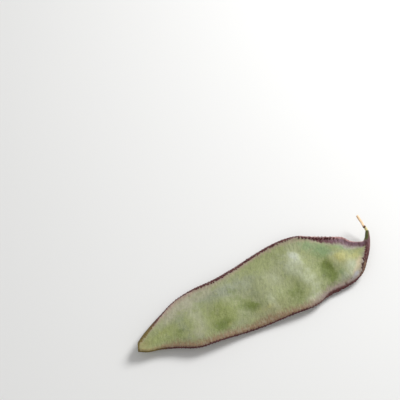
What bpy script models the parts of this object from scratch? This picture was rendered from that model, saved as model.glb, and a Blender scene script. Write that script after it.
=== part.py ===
"""A picked hyacinth bean pod lying on its side, with its beak and the dried style on the beak.

The pod is one solid. It is lofted between two edge curves: the seed-bearing suture, which is the upper
edge in plan, and the back suture, which is the lower edge and runs round the blunt end to the beak.
The frame has +X from the stem scar to the beak, +Y towards the seed-bearing suture and +Z up. Its origin
is the middle of the flat spot that the pod rests on, under the third seed.
"""

import math

import bmesh
import bpy
import numpy as np
from mathutils import Vector

MM = 0.001

# Plan of the pod in millimetres: each station is a point of the back suture and one of the seed-bearing
# suture. X runs from the stem scar, and the last four stations are the beak.
STATIONS = (
    ((-1.0, -2.4), (0.5, 1.4)),
    ((3.0, -4.3), (3.4, 3.3)),
    ((8.5, -5.5), (8.3, 5.9)),
    ((15.0, -8.1), (14.5, 8.9)),
    ((22.5, -11.8), (22.0, 12.3)),
    ((31.5, -12.9), (31.0, 13.7)),
    ((41.5, -13.9), (41.0, 13.4)),
    ((52.0, -14.9), (51.5, 14.7)),
    ((63.0, -15.7), (62.0, 16.7)),
    ((74.5, -16.5), (72.5, 17.3)),
    ((83.5, -14.6), (81.8, 16.1)),
    ((93.2, -14.3), (89.6, 12.5)),
    ((100.2, -12.5), (96.0, 9.5)),
    ((105.3, -8.0), (101.0, 7.0)),
    ((108.9, -3.9), (103.8, 3.1)),
    ((110.7, -1.1), (107.6, 0.7)),
    ((111.5, 0.4), (109.2, 1.3)),
    ((112.1, 1.9), (110.3, 2.6)),
    ((112.5, 3.2), (111.2, 3.9)),
)
ORIGIN = (57.5, 0.0)  # the third seed, in plan millimetres from the stem scar

# Half thicknesses in millimetres
BAND = 0.85  # the flat band just inside the sutures
BAND_WIDTH = 1.6
SWELL = 1.05  # how far the middle of a valve stands out of the band
SWELL_REACH = 4.5
SWELL_POWER = 1.6
SUTURE_UPPER = 1.35
SUTURE_LOWER = 1.10
SUTURE_WIDTH = 1.15  # from the edge to the suture's crest
SUTURE_FADE = 0.95

# Seeds: x and y in plan millimetres, and how far each stands out
SEEDS = ((22.3, 0.6, 0.75), (40.0, -0.8, 1.18), (57.5, -0.3, 1.15), (76.2, -1.0, 1.20), (95.3, -0.6, 1.00))
SEED_LONG = 5.4  # spread of a seed's swelling along the pod
SEED_WIDE = 8.0

# Out of plane, in millimetres
HALF_LENGTH = 56.0
HALF_WIDTH = 17.0
BOW = 1.4  # how far both ends lift
TWIST = 0.8
RIPPLE = 0.75  # the edges wave up and down
RIPPLE_REACH = 6.0
UPPER_WAVE = (37.0, 0.6)  # pitch, and phase at the stem scar
LOWER_WAVE = (40.0, 3.4)
FLAT_DEPTH = 0.35  # the seeds' undersides are flat to this depth where they rest

# Warts on the sutures
WART_RISE = 0.26
WART_SWAY = 0.20
WART_PLACE = 0.7  # from the edge inwards
WART_WIDTH = 0.9
WART_HOLLOW = 0.35  # depth between two warts, as a share of a wart's height
WART_STATIONS = (5.0, 25.0, 104.0, 108.0)  # plan X at which the shares of their full size below hold
WART_SHARES = (0.0, 1.0, 1.0, 0.0)
EDGE_POWER = 6  # keeps the sideways sway to the very edge

# Rings that close the ends: share of the end section's size, and depth in millimetres
SCAR_RINGS = ((0.0, 0.7), (0.45, 0.5), (0.8, 0.05))
TIP_RINGS = ((0.7, -0.15), (0.0, -0.25))
RINGS_ALONG = 144
POINTS_AROUND = 32
EDGE_SAMPLES = 500

# The dried style, 0.3 mm off the beak: points in plan millimetres, height above the beak's tip, and radii
STYLE_POINTS = (
    (112.0, 4.25, 0.05, 0.42),
    (112.05, 4.85, 0.25, 0.40),
    (112.0, 5.4, 0.45, 0.36),
    (111.75, 5.9, 0.65, 0.46),
    (111.55, 6.5, 0.95, 0.36),
    (111.3, 8.0, 1.65, 0.38),
    (111.05, 9.45, 2.35, 0.42),
    (110.85, 10.9, 3.05, 0.42),
    (110.8, 11.25, 3.2, 0.34),
)

POD_GREEN = (0.31, 0.34, 0.17, 1.0)
STYLE_CREAM = (0.72, 0.52, 0.31, 1.0)


def clear_scene():
    for obj in list(bpy.data.objects):
        bpy.data.objects.remove(obj, do_unlink=True)


def new_material(name, colour, roughness):
    material = bpy.data.materials.new(name)
    material.use_nodes = True
    shader = material.node_tree.nodes["Principled BSDF"]
    shader.inputs["Base Color"].default_value = colour
    shader.inputs["Roughness"].default_value = roughness
    shader.inputs["Metallic"].default_value = 0.0
    return material


def spline(points, share):
    """Catmull-Rom curve through the points, at share 0 to 1 by station number."""
    padded = np.vstack([2 * points[0] - points[1], points, 2 * points[-1] - points[-2]])
    place = share * (len(points) - 1)
    first = np.minimum(place.astype(int), len(points) - 2)
    t = (place - first)[:, None]
    a, b, c, d = (padded[first + k] for k in range(4))
    return 0.5 * (2 * b + (c - a) * t + (2 * a - 5 * b + 4 * c - d) * t**2 + (3 * b - a - 3 * c + d) * t**3)


LOWER = np.array([station[0] for station in STATIONS])
UPPER = np.array([station[1] for station in STATIONS])


def ring_shares(count):
    """Station shares that space the rings evenly along the two edges."""
    fine = np.linspace(0, 1, EDGE_SAMPLES)
    steps = [np.linalg.norm(np.diff(spline(edge, fine), axis=0), axis=1) for edge in (LOWER, UPPER)]
    run = np.concatenate([[0], np.cumsum(sum(steps))])
    return np.interp(np.linspace(0, run[-1], count), run, fine)


def edge_distances(plan):
    """Distances from each plan point to the lower and the upper outer edge."""
    shares = np.linspace(0, 1, EDGE_SAMPLES)
    edges = [spline(edge, shares) for edge in (LOWER, UPPER)]
    return [np.array([np.min(np.hypot(*(edge - point).T)) for point in plan]) for edge in edges]


def round_cap(ratio):
    """Quarter circle from 0 at ratio 0 up to 1 at ratio 1."""
    return np.sqrt(1 - (1 - np.clip(ratio, 0, 1)) ** 2)


def swelling(distance):
    """0 in the flat band beside a suture, rising to 1 in the middle of a valve."""
    return 1 - np.exp(-((np.maximum(distance - BAND_WIDTH, 0) / SWELL_REACH) ** SWELL_POWER))


def half_thickness(plan, lower, upper):
    """Half the pod's thickness: flat band, suture beads, swollen middle and seeds."""
    half = BAND * round_cap(lower / SUTURE_WIDTH) * round_cap(upper / SUTURE_WIDTH)
    for distance, height in ((lower, SUTURE_LOWER), (upper, SUTURE_UPPER)):
        bead = np.exp(-(((distance - SUTURE_WIDTH) / SUTURE_FADE) ** 2))
        half += (height - BAND) * bead * round_cap(distance / SUTURE_WIDTH)
    inside = np.sqrt(swelling(lower) * swelling(upper))
    half += SWELL * inside
    for x, y, height in SEEDS:
        spread = ((plan[:, 0] - x) / SEED_LONG) ** 2 + ((plan[:, 1] - y) / SEED_WIDE) ** 2
        half += height * np.exp(-spread) * inside
    return half


def middle_height(plan, lower, upper):
    """Height of the surface midway between the two valves: bow, twist and waved edges."""
    along = (plan[:, 0] - ORIGIN[0]) / HALF_LENGTH
    across = plan[:, 1] / HALF_WIDTH
    height = BOW * along**2 + TWIST * along * across
    for distance, (pitch, phase) in ((upper, UPPER_WAVE), (lower, LOWER_WAVE)):
        wave = np.sin(2 * math.pi * plan[:, 0] / pitch + phase)
        height += RIPPLE * np.exp(-distance / RIPPLE_REACH) * wave
    return height


def warts(rings, plan, lower, upper):
    """Rows of low warts: every other ring stands out beside both sutures, less so at the pod's ends."""
    beside = np.exp(-(((np.minimum(lower, upper) - WART_PLACE) / WART_WIDTH) ** 2))
    along = np.interp(plan[:, 0], WART_STATIONS, WART_SHARES)
    return along * beside * np.where(rings % 2 == 0, 1.0, -WART_HOLLOW)


def pod_points(ring, angle):
    """Plan and height, in millimetres, of the pod's skin for ring numbers and section angles."""
    first = len(SCAR_RINGS)
    last = first + RINGS_ALONG - 1
    size, shift = np.ones(len(ring)), np.zeros(len(ring))
    for k, (share, depth) in enumerate(SCAR_RINGS):
        size[ring == k], shift[ring == k] = share, depth
    for k, (share, depth) in enumerate(TIP_RINGS):
        size[ring == last + 1 + k], shift[ring == last + 1 + k] = share, depth
    shares = ring_shares(RINGS_ALONG)[np.clip(ring - first, 0, RINGS_ALONG - 1)]
    low, high = spline(LOWER, shares), spline(UPPER, shares)
    centre, reach = (low + high) / 2, (high - low) / 2
    cosine = np.cos(angle)
    full = centre + reach * cosine[:, None]
    lower, upper = edge_distances(full)
    half = half_thickness(full, lower, upper)
    height = middle_height(full, lower, upper)
    centre_height = middle_height(centre, *edge_distances(centre))
    wart = warts(ring, full, lower, upper)
    sway = WART_SWAY * wart * np.sign(cosine) * np.abs(cosine) ** EDGE_POWER
    plan = centre + reach * (cosine * size)[:, None]
    plan += reach / np.linalg.norm(reach, axis=1)[:, None] * sway[:, None]
    plan[:, 0] += np.where(ring < first, shift, 0)
    plan[:, 1] -= np.where(ring > last, shift, 0)
    side = np.sign(np.round(np.sin(angle), 6))
    z = centre_height + (height - centre_height) * size + side * (half + WART_RISE * wart) * size
    return np.column_stack([plan - ORIGIN, z])


def make_pod(collection):
    """The pod: a sphere's rings, each point moved to its place on the loft. Gives the beak's height."""
    rings = len(SCAR_RINGS) + RINGS_ALONG + len(TIP_RINGS)
    bm = bmesh.new()
    bmesh.ops.create_uvsphere(bm, u_segments=POINTS_AROUND, v_segments=rings - 1, radius=1.0)
    verts = list(bm.verts)
    place = np.array([vert.co for vert in verts])
    ring = np.round((1 - np.arccos(np.clip(place[:, 2], -1, 1)) / math.pi) * (rings - 1)).astype(int)
    points = pod_points(ring, np.arctan2(place[:, 1], place[:, 0]))
    points[:, 2] -= points[:, 2].min() + FLAT_DEPTH
    points[:, 2] = np.maximum(points[:, 2], 0)
    for vert, point in zip(verts, points):
        vert.co = Vector(point * MM)
    mesh = bpy.data.meshes.new("pod")
    bm.to_mesh(mesh)
    bm.free()
    mesh.shade_smooth()
    mesh.materials.append(new_material("pod_skin", POD_GREEN, 0.55))
    pod = bpy.data.objects.new("pod", mesh)
    collection.objects.link(pod)
    return points[np.argmax(ring), 2]


def make_style(collection, tip_height):
    """The dried style, a thin thread with a knot where it withered, just off the beak's tip."""
    curve = bpy.data.curves.new("style", "CURVE")
    curve.dimensions = "3D"
    curve.bevel_depth = MM
    curve.bevel_resolution = 2
    curve.use_fill_caps = True
    line = curve.splines.new("POLY")
    line.points.add(len(STYLE_POINTS) - 1)
    for point, (x, y, rise, radius) in zip(line.points, STYLE_POINTS):
        place = (x - ORIGIN[0], y - ORIGIN[1], tip_height + rise)
        point.co = (*(value * MM for value in place), 1.0)
        point.radius = radius
    curve.materials.append(new_material("dried_style", STYLE_CREAM, 0.7))
    style = bpy.data.objects.new("style", curve)
    collection.objects.link(style)


def main():
    clear_scene()
    collection = bpy.data.collections.new("hyacinth_bean")
    bpy.context.scene.collection.children.link(collection)
    tip_height = make_pod(collection)
    make_style(collection, tip_height)


main()
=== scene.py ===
"""The looks of a picked hyacinth bean pod: its skin, warty sutures, dried style and the stage it lies on."""

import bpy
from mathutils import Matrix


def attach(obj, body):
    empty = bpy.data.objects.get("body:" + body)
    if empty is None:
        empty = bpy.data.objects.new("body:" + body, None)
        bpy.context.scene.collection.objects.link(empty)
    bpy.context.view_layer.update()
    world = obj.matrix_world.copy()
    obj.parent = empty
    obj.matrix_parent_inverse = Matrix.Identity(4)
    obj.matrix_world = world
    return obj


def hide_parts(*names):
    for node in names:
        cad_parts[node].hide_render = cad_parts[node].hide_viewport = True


bl_info = {
    "name": "Hyacinth Bean Pod",
    "version": (1, 0, 0),
    "blender": (4, 5, 0),
    "location": "3D View > Sidebar > Bean Pod",
    "description": "Makes the fine skin, warts and dried style of a bean pod, with a plain stage",
    "category": "Object",
}

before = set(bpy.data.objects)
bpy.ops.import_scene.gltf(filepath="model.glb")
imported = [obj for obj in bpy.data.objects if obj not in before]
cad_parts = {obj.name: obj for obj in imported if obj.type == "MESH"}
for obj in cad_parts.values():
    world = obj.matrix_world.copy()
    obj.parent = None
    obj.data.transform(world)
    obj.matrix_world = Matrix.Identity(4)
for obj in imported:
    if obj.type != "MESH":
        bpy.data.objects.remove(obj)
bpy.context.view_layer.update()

import math
import random

import bmesh
import bpy
import numpy as np
from bpy.props import FloatProperty, FloatVectorProperty, IntProperty, PointerProperty
from mathutils import Matrix, Vector, kdtree, noise

MM = 0.001

# The outline in plan, in millimetres from the stem scar: back suture, then seed-bearing suture
STATIONS = (
    ((-1.0, -2.4), (0.5, 1.4)),
    ((3.0, -4.3), (3.4, 3.3)),
    ((8.5, -5.5), (8.3, 5.9)),
    ((15.0, -8.1), (14.5, 8.9)),
    ((22.5, -11.8), (22.0, 12.3)),
    ((31.5, -12.9), (31.0, 13.7)),
    ((41.5, -13.9), (41.0, 13.4)),
    ((52.0, -14.9), (51.5, 14.7)),
    ((63.0, -15.7), (62.0, 16.7)),
    ((74.5, -16.5), (72.5, 17.3)),
    ((83.5, -14.6), (81.8, 16.1)),
    ((93.2, -14.3), (89.6, 12.5)),
    ((100.2, -12.5), (96.0, 9.5)),
    ((105.3, -8.0), (101.0, 7.0)),
    ((108.9, -3.9), (103.8, 3.1)),
    ((110.7, -1.1), (107.6, 0.7)),
    ((111.5, 0.4), (109.2, 1.3)),
    ((112.1, 1.9), (110.3, 2.6)),
    ((112.5, 3.2), (111.2, 3.9)),
)
ORIGIN = (57.5, 0.0)  # the third seed
EDGE_SAMPLES = 1500

# The solid's form in millimetres: half thicknesses, and the distances over which they change
BAND = 0.85
BAND_WIDTH = 1.6
SWELL = 1.05
SWELL_REACH = 4.5
SWELL_POWER = 1.6
SUTURE_UPPER = 1.35
SUTURE_LOWER = 1.10
SUTURE_WIDTH = 1.15
SUTURE_FADE = 0.95
# Swellings over the seeds: plan X and Y, half thickness
SEEDS = ((22.3, 0.6, 0.75), (40.0, -0.8, 1.18), (57.5, -0.3, 1.15), (76.2, -1.0, 1.20), (95.3, -0.6, 1.00))
SEED_LONG = 5.4
SEED_WIDE = 8.0
# Height of the solid's middle: bow, twist and a wave along each suture (pitch, and phase in radians)
HALF_LENGTH = 56.0
HALF_WIDTH = 17.0
BOW = 1.4
TWIST = 0.8
RIPPLE = 0.75
RIPPLE_REACH = 6.0
UPPER_WAVE = (37.0, 0.6)
LOWER_WAVE = (40.0, 3.4)
FLAT_DEPTH = 0.35  # how much the lowest parts of the underside are cut flat
SOLID_RINGS = 144
SOLID_ANGLES = 17  # section angles over the underside

# Fine relief of the skin, in millimetres
UNDER_FOLDS = 0.25  # share of the folds that the underside has
RIDGE_LENGTH = 6.0  # distance inward over which a ridge changes
RIDGE_REACH = 4.0  # distance inward over which the ridges fade
RIDGE_SEED = 1
UNEVEN = ((0.10, 0.22, 2), (0.035, 0.7, 3))  # height, features in a millimetre, seed
# Steps in the noise's third direction that make the two sutures differ, and the two faces
SUTURE_LAYER = 3
FACE_LAYER = 9
NOISE_SHIFT = (17.3, 5.1, 9.7)  # how far each step of the seed moves the noise

# Folds and dents of the upper valve: plan X and Y, half length along and across the pod, turn, height
FOLDS = (
    (78.6, -0.5, 1.9, 9.5, 7, 0.34),
    (61.5, -2.0, 2.2, 8.0, 10, 0.20),
    (44.0, -4.0, 2.4, 6.5, 14, 0.18),
    (95.0, -1.3, 3.6, 4.2, 0, 0.22),
    (98.5, -6.8, 2.4, 4.0, 30, 0.16),
    (87.6, -4.4, 3.0, 6.0, 18, -0.46),
    (70.8, -6.0, 2.8, 6.5, 6, -0.34),
    (50.6, -5.4, 3.8, 3.0, 0, -0.30),
    (37.2, -6.6, 3.8, 3.2, 0, -0.26),
    (19.5, -1.8, 3.0, 4.5, 12, -0.20),
    (29.0, 3.0, 3.0, 6.0, 12, 0.12),
)

# Rings that close the ends: share of the end section's size, and depth in millimetres (below 0 is outward)
SCAR_RINGS = ((0.0, 0.5), (0.25, 0.62), (0.5, 0.55), (0.7, 0.4), (0.84, 0.12), (0.94, 0.0))
TIP_RINGS = ((0.93, -0.06), (0.8, -0.13), (0.6, -0.19), (0.3, -0.24), (0.0, -0.25))

# Rows of warts: depth in from the edge, faces (0 is the edge itself) and size
WART_ROWS = (
    (0.02, (0,), 1.0),
    (0.28, (1, -1), 1.0),
    (0.80, (1, -1), 0.9),
    (1.45, (1, -1), 0.8),
    (2.10, (1, -1), 0.7),
)
# The warts' lightness set below is how strongly their tops are painted with a highlight of pale lilac
OUTER_ROWS = 1.0  # rows nearer the edge than this take their lightness from the next two tables
UPPER_LIGHT = ((0, 0.4), (78, 0.5), (88, 0.7), (92, 1.1), (98, 1.1), (103, 0.7), (107, 0.3))
LOWER_LIGHT = ((0, 0.3), (110, 0.3))
INNER_ROW = 0.75  # share of the rim's width past which the warts are light
DARK_WART = 0.3  # lightness of the warts between
LIGHT_SPREAD = (0.0, 1.5)  # each wart's own share of its row's lightness is drawn between these
WART_START = 9.0  # run along the edge from the stem end to the first warts
WART_STOP = 8.0  # run along the edge from the last warts to the tip
WART_MARGIN = 0.35  # how far past the dark colour the warts of the seed-bearing suture go
WART_SINK = 0.3  # share of its radius that a wart sits in the skin
# Painted highlight: how soon it sets in towards a wart's top, and which way that top faces
WART_TIP = 1.5  # how soon a wart turns light towards its top
TIP_LEAN = 0.3  # how far the light top leans from straight up towards the skin's normal
UNDERSIDE = -0.3  # a skin normal's upward part under which a wart belongs to the underside
# How far in the warts of the back suture reach, plain and smooth before the beak: plan X, depth
LOWER_WARTS = ((0, 0.4), (76, 0.4), (80, 0.1), (97, 0.15), (101, 0.8), (104, 1.6), (110, 2.0))
# Size of the warts along the pod: plan X, share
WART_FADE = ((9.0, 0.4), (24.0, 0.9), (80.0, 1.0), (87.0, 1.55), (96.0, 1.5), (99.0, 0.8), (109.0, 0.4))
# What each wart draws for itself: share of the pitch, shift of its depth in millimetres, share of its row's
# size, and its width and height as shares of its length
PITCH_SPREAD = (0.7, 1.3)
DEPTH_SPREAD = (-0.12, 0.12)
SIZE_SPREAD = (0.7, 1.15)
WIDTH_SPREAD = (0.8, 1.4)
HEIGHT_SPREAD = (0.7, 1.0)
WART_SEED = 8
WART_FACETS = (8, 5)  # segments round a wart, and from its foot to its top
WARTS_IN_A_BATCH = 60
NORMAL_STEPS = (0.0006, 0.03)  # steps that give the skin's normals: station share, section angle
CORE_DEPTH = 2.0  # a point this far under the middle of the upper skin lies inside the pod

# The dried style: plan X and Y, height above the beak's tip, half width. It starts inside the beak.
STYLE_POINTS = (
    (111.85, 3.55, -0.10, 0.55),
    (112.0, 4.25, 0.05, 0.60),
    (112.05, 4.85, 0.25, 0.64),
    (112.0, 5.4, 0.45, 0.56),
    (111.75, 5.9, 0.65, 0.68),
    (111.55, 6.5, 0.95, 0.56),
    (111.3, 8.0, 1.65, 0.60),
    (111.05, 9.45, 2.35, 0.64),
    (110.85, 10.9, 3.05, 0.60),
    (110.8, 11.2, 3.2, 0.50),
)
STYLE_RINGS = 90
STYLE_AROUND = 24
STYLE_STEP = 0.01  # share of its length, ahead and back, from which its direction is taken
STYLE_FACE = (0.3, 0.2, 1.0)  # direction that its broad side is turned to
GROOVES = 3
GROOVE_DEPTH = 0.10  # share of its half width
GROOVE_TURN = 9  # radians that the grooves wind over its length
CAPS = (1.04, 0.04, 60)  # stretch, offset and power that round off its ends
STYLE_FLAT = ((0.0, 1.0), (0.4, 1.0), (0.6, 0.72), (1.0, 0.66))  # share of its length, thickness to width
WOBBLE = 0.06  # in millimetres
WOBBLE_TURNS = (21, 17, 25)  # radians over its length, in X, Y and height
WOBBLE_START = (0.3, 0.5)  # shares of its length over which the wobble sets in

# How far in from each edge the dark suture colour reaches: plan X, width
UPPER_RIM = (
    (0, 0.9), (4, 1.8), (10, 1.3), (18, 0.65), (24, 0.8), (30, 1.0), (36, 1.4), (76, 1.3), (82, 1.0),
    (86, 1.2), (89, 2.2), (92, 3.4), (96, 3.9), (99, 3.8), (102, 2.9), (105, 2.4), (108, 4.0),
)
LOWER_RIM = (
    (0, 0.3), (8, 0.4), (24, 0.36), (34, 0.33), (40, 0.26), (58, 0.26), (70, 0.29), (73, 0.2), (79, 0.2),
    (84, 0.85), (88, 0.8), (92, 0.5), (98, 0.36), (101, 1.3), (103, 1.8), (107, 2.0), (110, 3.0),
)
STEM_RIM = 0.6  # the same at the broken stem end
# Share of blue-grey in the sutures, smooth and dusky near the beak: plan X, share
UPPER_DUSK = ((90, 0.0), (95, 0.5), (98, 1.0), (107, 1.0), (109, 0.7), (113, 0.5))
LOWER_DUSK = ((106.8, 0.0), (109.4, 0.5), (113, 0.6))
# Pink line along the edge: plan X, width
PINK_LINE = ((92, 1.5), (99, 1.7), (102, 1.2), (105, 0.7), (108, 0.6))
# How uneven the inner side of the dark colour is, in shares of its width: strokes, and blotches by plan X
RAGGED = 0.24
BLOTCHES = ((98, 0.0), (100, 0.3), (103.5, 0.3), (104.6, 0.04), (109, 0.0))
# Short dark strokes inside the back suture: their share by plan X, and the depths where they thin out and end
COMB = ((90, 0.0), (91, 0.8), (94.5, 0.8), (97, 0.0))
COMB_DEPTH = (1.0, 2.6)
# How softly the dark colour ends on its inner side, from 0 to 1: plan X, softness
UPPER_SOFT = ((91, 0.1), (95, 0.28), (98, 0.3), (103, 0.45), (112, 0.3))
LOWER_SOFT = ((78, 0.0), (84, 1.0), (94, 0.8), (99, 0.1))
# How far in the flush beside the rims reaches: plan X, width
UPPER_FLUSH = (
    (0, 1.8), (10, 2.6), (16, 3.0), (80, 3.3), (89, 3.4), (94, 4.2), (99, 4.2), (102, 3.3), (105, 2.6),
)
LOWER_FLUSH = (
    (0, 1.2), (8, 2.0), (16, 3.8), (36, 4.0), (42, 3.4), (54, 4.2), (66, 3.6), (76, 3.6), (86, 4.4),
    (96, 3.2), (104, 3.4), (112, 2.4),
)
HAZE_START = (68.0, 80.0)  # plan X over which the back suture's flush turns from mauve to a grey haze
FLUSH_RAGGED = 0.2  # how uneven the inner side of the flush is, as a share of its width
FLUSH_MOST = 0.92  # most that the flush covers of the colour under it
STEM_FADE = (1.0, 17.0)  # plan X over which the colours of the stem end fade
SCAR_RIM = (0.80, 0.95)  # sizes of the stem end's rings between which the scar's colour ends
BEAK_TIP = ((0.93, 1.0), (0.0, 0.6))  # green over the whole tip: station shares, amounts
BEAK_SIDE = (0.81, 0.88)  # station shares over which the seed-bearing side turns green
BEAK_ACROSS = (0.22, 0.55)  # shares of the way from the back suture over which that green sets in

# Patches of the valves: plan X and Y, half length along and across the pod, turn, strength
PATCHES = {
    "mist": (
        (16.0, 5.5, 6.0, 2.6, 28, 0.7),
        (25.0, 9.0, 8.0, 4.0, 10, 0.95),
        (36.0, 10.0, 7.0, 3.6, 0, 0.6),
        (46.0, 11.5, 9.0, 2.4, 0, 0.3),
        (27.0, -2.0, 3.2, 8.0, 6, 0.5),
        (23.0, -6.5, 5.0, 3.0, -16, 0.4),
        (97.0, 6.0, 5.0, 2.2, -38, 0.35),
        (102.4, 0.0, 2.4, 1.6, -30, 0.8),
        (72.0, -12.5, 9.0, 2.2, 0, 0.2),
    ),
    "bloom": (
        (29.0, 7.0, 10.0, 4.0, 0, 0.6),
        (20.0, 0.0, 2.6, 5.0, 10, 0.6),
        (47.0, 7.0, 13.0, 3.6, 0, 0.6),
        (43.0, 3.5, 5.0, 5.0, 0, 0.5),
        (73.5, 4.0, 4.0, 5.0, 0, 0.6),
        (54.0, 1.0, 5.0, 5.0, 0, 0.35),
        (93.0, -10.5, 7.0, 2.4, 8, 0.8),
        (76.0, -12.6, 6.0, 1.7, 0, 0.4),
        (24.0, -8.5, 6.0, 2.0, -16, 0.5),
    ),
    "lime": (
        (8.0, -1.0, 7.0, 3.0, 0, 0.9),
        (14.0, -0.5, 5.0, 3.5, 0, 0.5),
        (35.5, -3.5, 7.0, 5.5, 0, 0.95),
        (43.0, 1.5, 6.0, 5.0, 0, 0.4),
        (41.0, -5.5, 4.0, 4.0, 0, 0.6),
        (49.0, -3.0, 5.0, 2.5, 0, 0.5),
        (62.0, -7.0, 5.0, 4.0, 0, 0.4),
        (79.0, -3.0, 4.0, 6.0, 6, 0.35),
        (101.0, -3.4, 3.4, 2.6, 20, 0.25),
        (97.0, 4.5, 3.0, 2.0, 0, 0.4),
        (87.0, -3.0, 4.5, 6.0, 0, 0.8),
    ),
    "teal": (
        (90.0, 3.5, 5.0, 4.2, -20, 1.0),
        (85.0, 9.5, 5.0, 3.4, -20, 0.7),
        (98.5, 1.6, 3.8, 1.4, -38, 0.8),
        (91.8, -8.2, 2.6, 1.7, 10, 0.55),
    ),
    # Pale bands between the seeds: partly paler colour, partly painted light on the lit sides of the seed
    # swellings and ridges
    "pale": (
        (77.0, 6.6, 3.0, 3.4, 10, 1.0),
        (78.2, -5.0, 3.2, 8.5, 4, 0.75),
        (59.5, -7.0, 3.2, 5.5, 0, 0.60),
        (64.5, 2.5, 3.0, 4.5, 20, 0.45),
        (52.5, 4.5, 2.6, 4.0, 10, 0.35),
        (42.5, -9.0, 3.0, 3.0, 0, 0.30),
        (27.6, -1.0, 2.8, 8.0, 6, 0.30),
        (10.0, -1.2, 5.0, 2.4, 0, 0.4),
        (73.5, 2.0, 3.2, 7.0, 0, 0.65),
        (76.5, -13.4, 4.5, 1.5, 0, 0.7),
        (98.3, -7.5, 3.2, 3.8, 30, 0.95),
        (96.0, -9.8, 2.8, 2.4, 0, 0.7),
        (92.4, -0.8, 2.6, 5.0, 0, 0.65),
    ),
    # Yellow patches: partly their own colour, partly painted light on the lit side of the last seed swelling
    "straw_and_light": (
        (94.6, -2.0, 4.6, 3.3, -8, 0.75),
        (102.0, -4.0, 3.4, 2.1, 20, 0.6),
        (10.0, 0.2, 4.5, 2.4, 0, 0.35),
        (38.0, -8.2, 1.8, 1.1, 0, 0.7),
        (56.0, -8.4, 4.5, 1.5, 0, 0.4),
    ),
    # Deep green over the seeds: partly its own colour, partly painted shade on the shaded sides of the seed
    # swellings
    "olive_and_shade": (
        (18.3, -3.2, 3.0, 3.4, 0, 0.5),
        (35.6, -7.6, 4.2, 3.0, 0, 0.95),
        (37.0, -3.5, 4.0, 3.5, 0, 0.12),
        (51.0, -5.3, 3.6, 2.6, -8, 0.75),
        (69.5, -9.2, 3.8, 4.5, 0, 0.8),
        (72.2, -2.0, 2.6, 4.0, 4, 0.35),
        (87.2, -5.6, 3.4, 5.8, 4, 1.4),
        (44.8, 2.6, 3.8, 7.5, 8, 0.45),
        (47.0, -5.5, 2.8, 3.2, 0, 0.4),
        (103.2, -2.6, 2.4, 2.0, 30, 0.3),
    ),
    # Painted highlights: whitish spots of sheen on the pale bands
    "painted_highlight": (
        (76.8, 7.0, 2.4, 3.0, 10, 0.7),
        (98.0, -8.0, 1.8, 2.4, 20, 0.35),
    ),
    "flush": (
        (1.5, -1.0, 3.5, 2.6, 0, 0.5),
        (57.0, -10.5, 8.0, 3.0, 0, 0.2),
    ),
    "peach": (
        (97.4, -10.3, 2.4, 1.3, 30, 0.7),
        (101.3, -7.8, 4.2, 2.0, 48, 0.9),
        (76.0, -13.4, 4.5, 1.4, 0, 0.35),
        (59.6, -12.5, 2.0, 1.4, 0, 0.45),
    ),
    # Painted sheen: silvery patches by the back suture near the beak
    "painted_sheen": (
        (97.9, -11.3, 1.4, 0.9, 30, 0.85),
        (95.4, -12.5, 2.2, 1.0, 16, 0.45),
        (104.0, -6.5, 3.5, 0.8, 42, 0.3),
    ),
}
UNDER_PATCHES = 0.6  # strength of the patches on the underside
# The valves' patches in the order in which they cover each other, with the most that each covers
PATCH_COVER = (
    ("bloom", 0.9), ("mist", 0.95), ("teal", 0.85), ("lime", 0.95), ("pale", 0.85), ("straw_and_light", 0.9),
    ("olive_and_shade", 0.92), ("painted_highlight", 0.9), ("peach", 0.7),
)
PATCH_RANGE = (0.1, 1.0)  # strengths at which a patch sets in and is full

# Noises: features in a metre, detail, roughness
BROAD_NOISE = (70.0, 3.0, 0.5)
MOTTLE_NOISE = (260.0, 4.0, 0.62)
STREAK_NOISE = (1150.0, 3.0, 0.6)
PORE_NOISE = (1500.0, 1.0, 0.5)
GRAIN_NOISE = (4200.0, 2.0, 0.7)
FLECK_NOISE = (2600.0, 2.0, 0.5)
FIBRE_NOISE = (2200.0, 3.0, 0.6)
# Slants of the long patterns: degrees from +Y, stretch
STREAK_SLANT = (-26.0, 3.2)
PORE_SLANT = (-26.0, 1.7)
FIBRE_SLANT = (8, 6)
# Noises that follow the margins: features in a millimetre along and inward, detail
STROKE_NOISE = (1.3, 0.45, 3.0)
BLOTCH_NOISE = (0.7, 0.45, 1.0)
BLOTCH_LAYER = 4.0  # third coordinate of the blotches, apart from that of the strokes
MARGIN_ROUGHNESS = 0.6
# Bumps: height in metres, strength
MOTTLE_BUMP = (0.0006, 0.6)
STREAK_BUMP = (0.00018, 0.7)
GRAIN_BUMP = (0.00005, 0.6)
FLECK_BUMP = (0.00008, 0.6)
FIBRE_BUMP = (0.0001, 0.7)

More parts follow.
